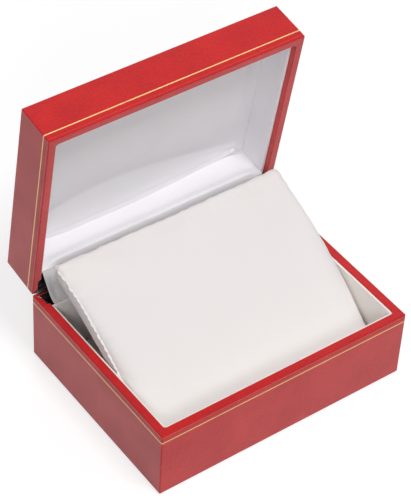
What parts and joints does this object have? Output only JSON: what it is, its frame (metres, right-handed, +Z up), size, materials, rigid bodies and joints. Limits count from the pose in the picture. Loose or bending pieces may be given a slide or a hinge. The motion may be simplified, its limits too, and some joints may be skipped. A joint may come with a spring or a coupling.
{
  "type": "jewellery presentation box",
  "caption": "Hinged leatherette presentation box with a snap-shut satin-lined lid and a lift-out suede display pillow leaning in a lined tray.",
  "frame": {"origin": "middle of the base's underside", "axes": "+Z up, +Y from the front to the hinge, +X left to right seen from the front"},
  "size_m": [0.1, 0.0923, 0.1057],
  "materials": {
    "red_leatherette": "fine grain, semi-matte",
    "gold_foil": "pressed foil",
    "white_suede": "short soft nap",
    "white_satin": "satin weave with a soft sheen",
    "black_lacquered_steel": "gloss lacquer",
    "spring_steel": "bright",
    "moulded_plastic": "as moulded",
    "card": "plain",
    "foam": "open cell"
  },
  "bodies": {
    "base": {"base_shell": "moulded_plastic", "base_wrap": "red_leatherette", "base_gold_line": "gold_foil", "base_bottom_sheet": "red_leatherette", "base_side_lining": "white_suede", "base_rear_lining": "white_suede", "base_floor_pad": "white_suede", "hinge_base_leaf": "black_lacquered_steel", "hinge_pin": "black_lacquered_steel", "snap_springs": "spring_steel", "snap_spring_rivets": "spring_steel", "base_leaf_rivets": "black_lacquered_steel", "hinge_apron": "white_satin"},
    "lid": {"lid_shell": "moulded_plastic", "lid_wrap": "red_leatherette", "lid_gold_line": "gold_foil", "lid_side_lining": "white_satin", "lid_rear_lining": "white_satin", "lid_pad_board": "card", "lid_pad_foam": "foam", "lid_satin_pad": "white_satin", "hinge_lid_leaf": "black_lacquered_steel", "lid_leaf_rivets": "black_lacquered_steel"},
    "pillow": {"pillow_core": "foam", "pillow_sleeve": "white_suede", "pillow_ends": "white_suede", "pillow_seams": "white_suede"}
  },
  "joints": [
    {"name": "lid_hinge", "type": "hinge", "parent": "base", "child": "lid", "pos_m": [0, 0.03815, 0.0279], "axis": [-1, 0, 0], "range_deg": [-81.4, 0], "deforming": ["hinge_apron", "snap_springs", "pillow_sleeve", "pillow_ends", "pillow_seams"]},
    {"name": "pillow_lift", "type": "slide", "parent": "base", "child": "pillow", "axis": [0, 0, 1], "range_m": [0, 0.045]}
  ]
}
